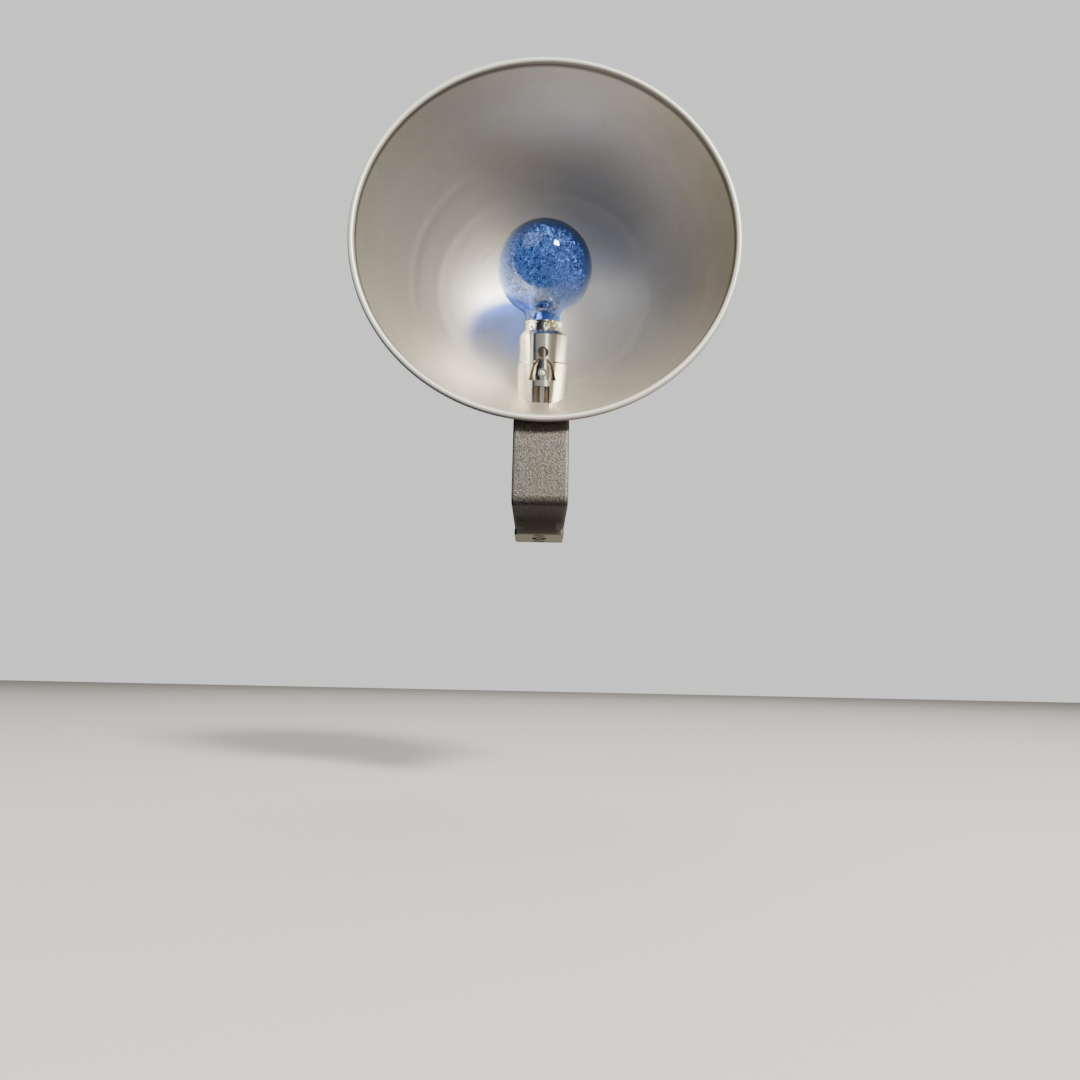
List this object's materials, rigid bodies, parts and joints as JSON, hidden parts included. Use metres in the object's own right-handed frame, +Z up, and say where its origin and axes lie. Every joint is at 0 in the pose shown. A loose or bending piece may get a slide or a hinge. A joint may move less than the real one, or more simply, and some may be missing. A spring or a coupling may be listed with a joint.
{
  "type": "flash bulb gun",
  "caption": "Battery flash gun for a camera's accessory shoe: deep spun reflector, removable bayonet flash bulb, slim battery case behind.",
  "frame": {"origin": "centre of the accessory-shoe foot's underside", "axes": "+Z up out of the shoe, the reflector faces -Y, +X to the right when looking along +Y at the reflector"},
  "size_m": [0.14, 0.0736, 0.1728],
  "materials": {
    "satin_aluminium": "spun satin",
    "bright_aluminium": "drawn",
    "hammertone": "grey-brown hammertone enamel",
    "nickel": "polished nickel",
    "steel": "plated",
    "spring_steel": "bright",
    "brass_bare": "bare",
    "brass_dark": "blackened",
    "black_fibre": "matt",
    "fibre_board": "red-brown vulcanised fibre",
    "black_plastic": "moulded",
    "felt": "felt",
    "blue_glass": "blue lacquered",
    "clear_glass": "clear",
    "black_glass": "vitrite",
    "foil": "shredded foil",
    "solder": "dull",
    "battery_jacket": "printed card, plain",
    "resistor_body": "lacquered",
    "wire_cover": "insulated",
    "red_lens": "moulded"
  },
  "bodies": {
    "body": {"reflector_bowl": "satin_aluminium", "case_body": "hammertone", "case_cover": "hammertone", "cover_posts": "brass_bare", "cover_screws": "nickel", "hinge_pin": "steel", "shoe_foot": "nickel", "foot_backing": "steel", "foot_screws": "steel", "foot_insulator": "black_fibre", "foot_contact": "brass_bare", "reflector_bracket": "steel", "bracket_rivets": "nickel", "reflector_screw": "nickel", "reflector_nut": "steel", "cradle_pad": "felt", "socket_shell": "nickel", "socket_sleeve": "brass_dark", "latch_spring": "spring_steel", "socket_plate": "steel", "socket_screws": "nickel", "battery": "battery_jacket", "battery_terminals": "brass_bare", "battery_tray": "fibre_board", "front_insulator": "fibre_board", "front_contact": "brass_bare", "door_catch": "spring_steel", "condenser": "bright_aluminium", "condenser_clip": "spring_steel", "tag_strip": "fibre_board", "resistor": "resistor_body", "wiring": "wire_cover", "button_housing": "black_plastic", "test_contact": "brass_bare", "lamp_lens": "red_lens", "lamp_bezel": "nickel", "test_lamp": "clear_glass"},
    "battery_door": {"battery_door": "hammertone", "door_insulator": "fibre_board", "door_spring": "spring_steel"},
    "ejector": {"ejector_carrier": "fibre_board", "ejector_arm": "steel", "ejector_button": "black_plastic", "ejector_spring": "spring_steel", "plunger_spring": "spring_steel"},
    "plunger": {"contact_plunger": "brass_bare"},
    "bulb": {"bulb_glass": "blue_glass", "bulb_foil": "foil", "bulb_stem": "clear_glass", "bulb_leads": "spring_steel", "bulb_base": "nickel", "bulb_insulator": "black_glass", "bulb_contact": "solder"},
    "test_button": {"test_button": "black_plastic", "button_spring": "spring_steel"}
  },
  "joints": [
    {"name": "ejector_slide", "type": "slide", "parent": "body", "child": "ejector", "axis": [0, -0.2588, 0.9659], "range_m": [0, 0.003], "stiffness_N_per_m": 200, "springref_m": -0.002, "deforming": ["ejector_spring"]},
    {"name": "bulb_slide", "type": "slide", "parent": "ejector", "child": "bulb", "axis": [0, -0.2588, 0.9659], "range_m": [0, 0.026], "deforming": ["latch_spring"]},
    {"name": "plunger_slide", "type": "slide", "parent": "ejector", "child": "plunger", "axis": [0, -0.2588, 0.9659], "range_m": [-0.0012, 0], "stiffness_N_per_m": 300, "springref_m": 0.001, "deforming": ["plunger_spring"]},
    {"name": "door_hinge", "type": "hinge", "parent": "body", "child": "battery_door", "pos_m": [0, 0.0243, 0.0063], "axis": [-1, 0, 0], "range_deg": [0, 95]},
    {"name": "test_press", "type": "slide", "parent": "body", "child": "test_button", "axis": [0, -1, 0], "range_m": [0, 0.0012], "stiffness_N_per_m": 400, "springref_m": -0.0008, "deforming": ["button_spring"]}
  ]
}
